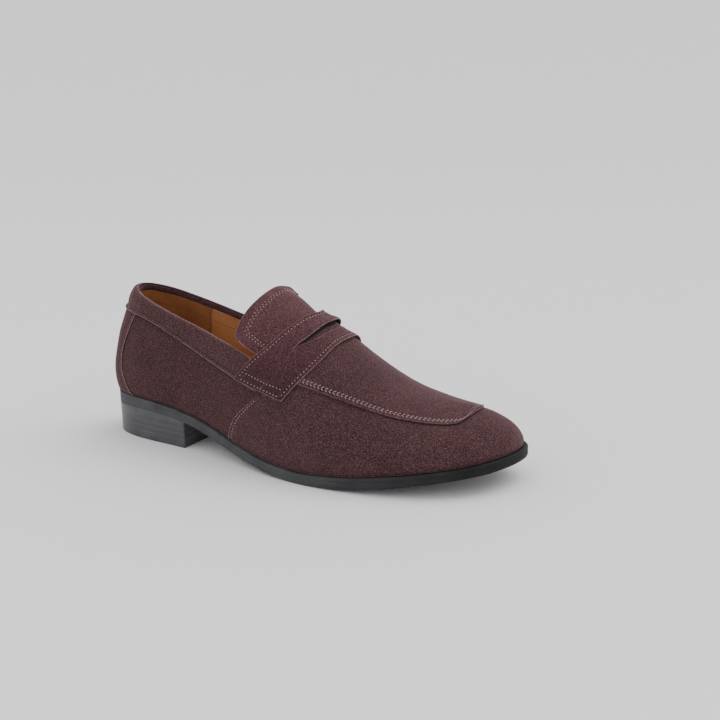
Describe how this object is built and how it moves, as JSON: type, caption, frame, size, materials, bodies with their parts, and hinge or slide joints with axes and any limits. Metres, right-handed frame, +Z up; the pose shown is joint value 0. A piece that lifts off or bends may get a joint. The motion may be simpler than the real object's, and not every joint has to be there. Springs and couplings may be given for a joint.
{
  "type": "penny loafer",
  "caption": "Low slip-on shoe with a sewn apron front, slotted saddle strap, springy tongue, padded collar and stacked heel.",
  "frame": {"origin": "on the ground under the middle of the heel, the centre of the heel's ground face", "axes": "+X from heel to toe, +Y to the inner side of this right foot shoe, +Z up"},
  "size_m": [0.2972, 0.0985, 0.1067],
  "materials": {
    "suede_plum": "napped suede, matt",
    "leather_tan": "smooth lining leather, satin",
    "rubber_black": "dark satin sole edge",
    "foam_grey": "open foam",
    "fibre_board": "pressed fibre board",
    "steel_plain": "plain steel",
    "cork_brown": "granulated cork",
    "thread_rose": "waxed thread"
  },
  "bodies": {
    "shoe": {"vamp": "suede_plum", "apron": "suede_plum", "quarter_outer": "suede_plum", "quarter_inner": "suede_plum", "saddle_strap": "suede_plum", "collar_band": "suede_plum", "heel_foxing": "suede_plum", "collar_facing": "suede_plum", "vamp_lining": "leather_tan", "apron_lining": "leather_tan", "quarter_lining_outer": "leather_tan", "quarter_lining_inner": "leather_tan", "heel_lining": "leather_tan", "sock_lining": "leather_tan", "outsole": "rubber_black", "welt": "rubber_black", "top_piece": "rubber_black", "heel_lift_lower": "rubber_black", "heel_lift_upper": "rubber_black", "heel_seat_wedge": "rubber_black", "collar_padding": "foam_grey", "footbed_foam": "foam_grey", "heel_counter": "fibre_board", "toe_puff": "fibre_board", "insole_board": "fibre_board", "shank": "steel_plain", "heel_nails": "steel_plain", "cork_filler": "cork_brown", "apron_stitching": "thread_rose"},
    "tongue": {"tongue": "suede_plum", "tongue_lining": "leather_tan"}
  },
  "joints": [
    {"name": "tongue_lift", "type": "hinge", "parent": "shoe", "child": "tongue", "pos_m": [0.1205, 0, 0.0915], "axis": [0, 1, 0], "range_deg": [0, 30], "stiffness_Nm_per_rad": 0.02}
  ]
}
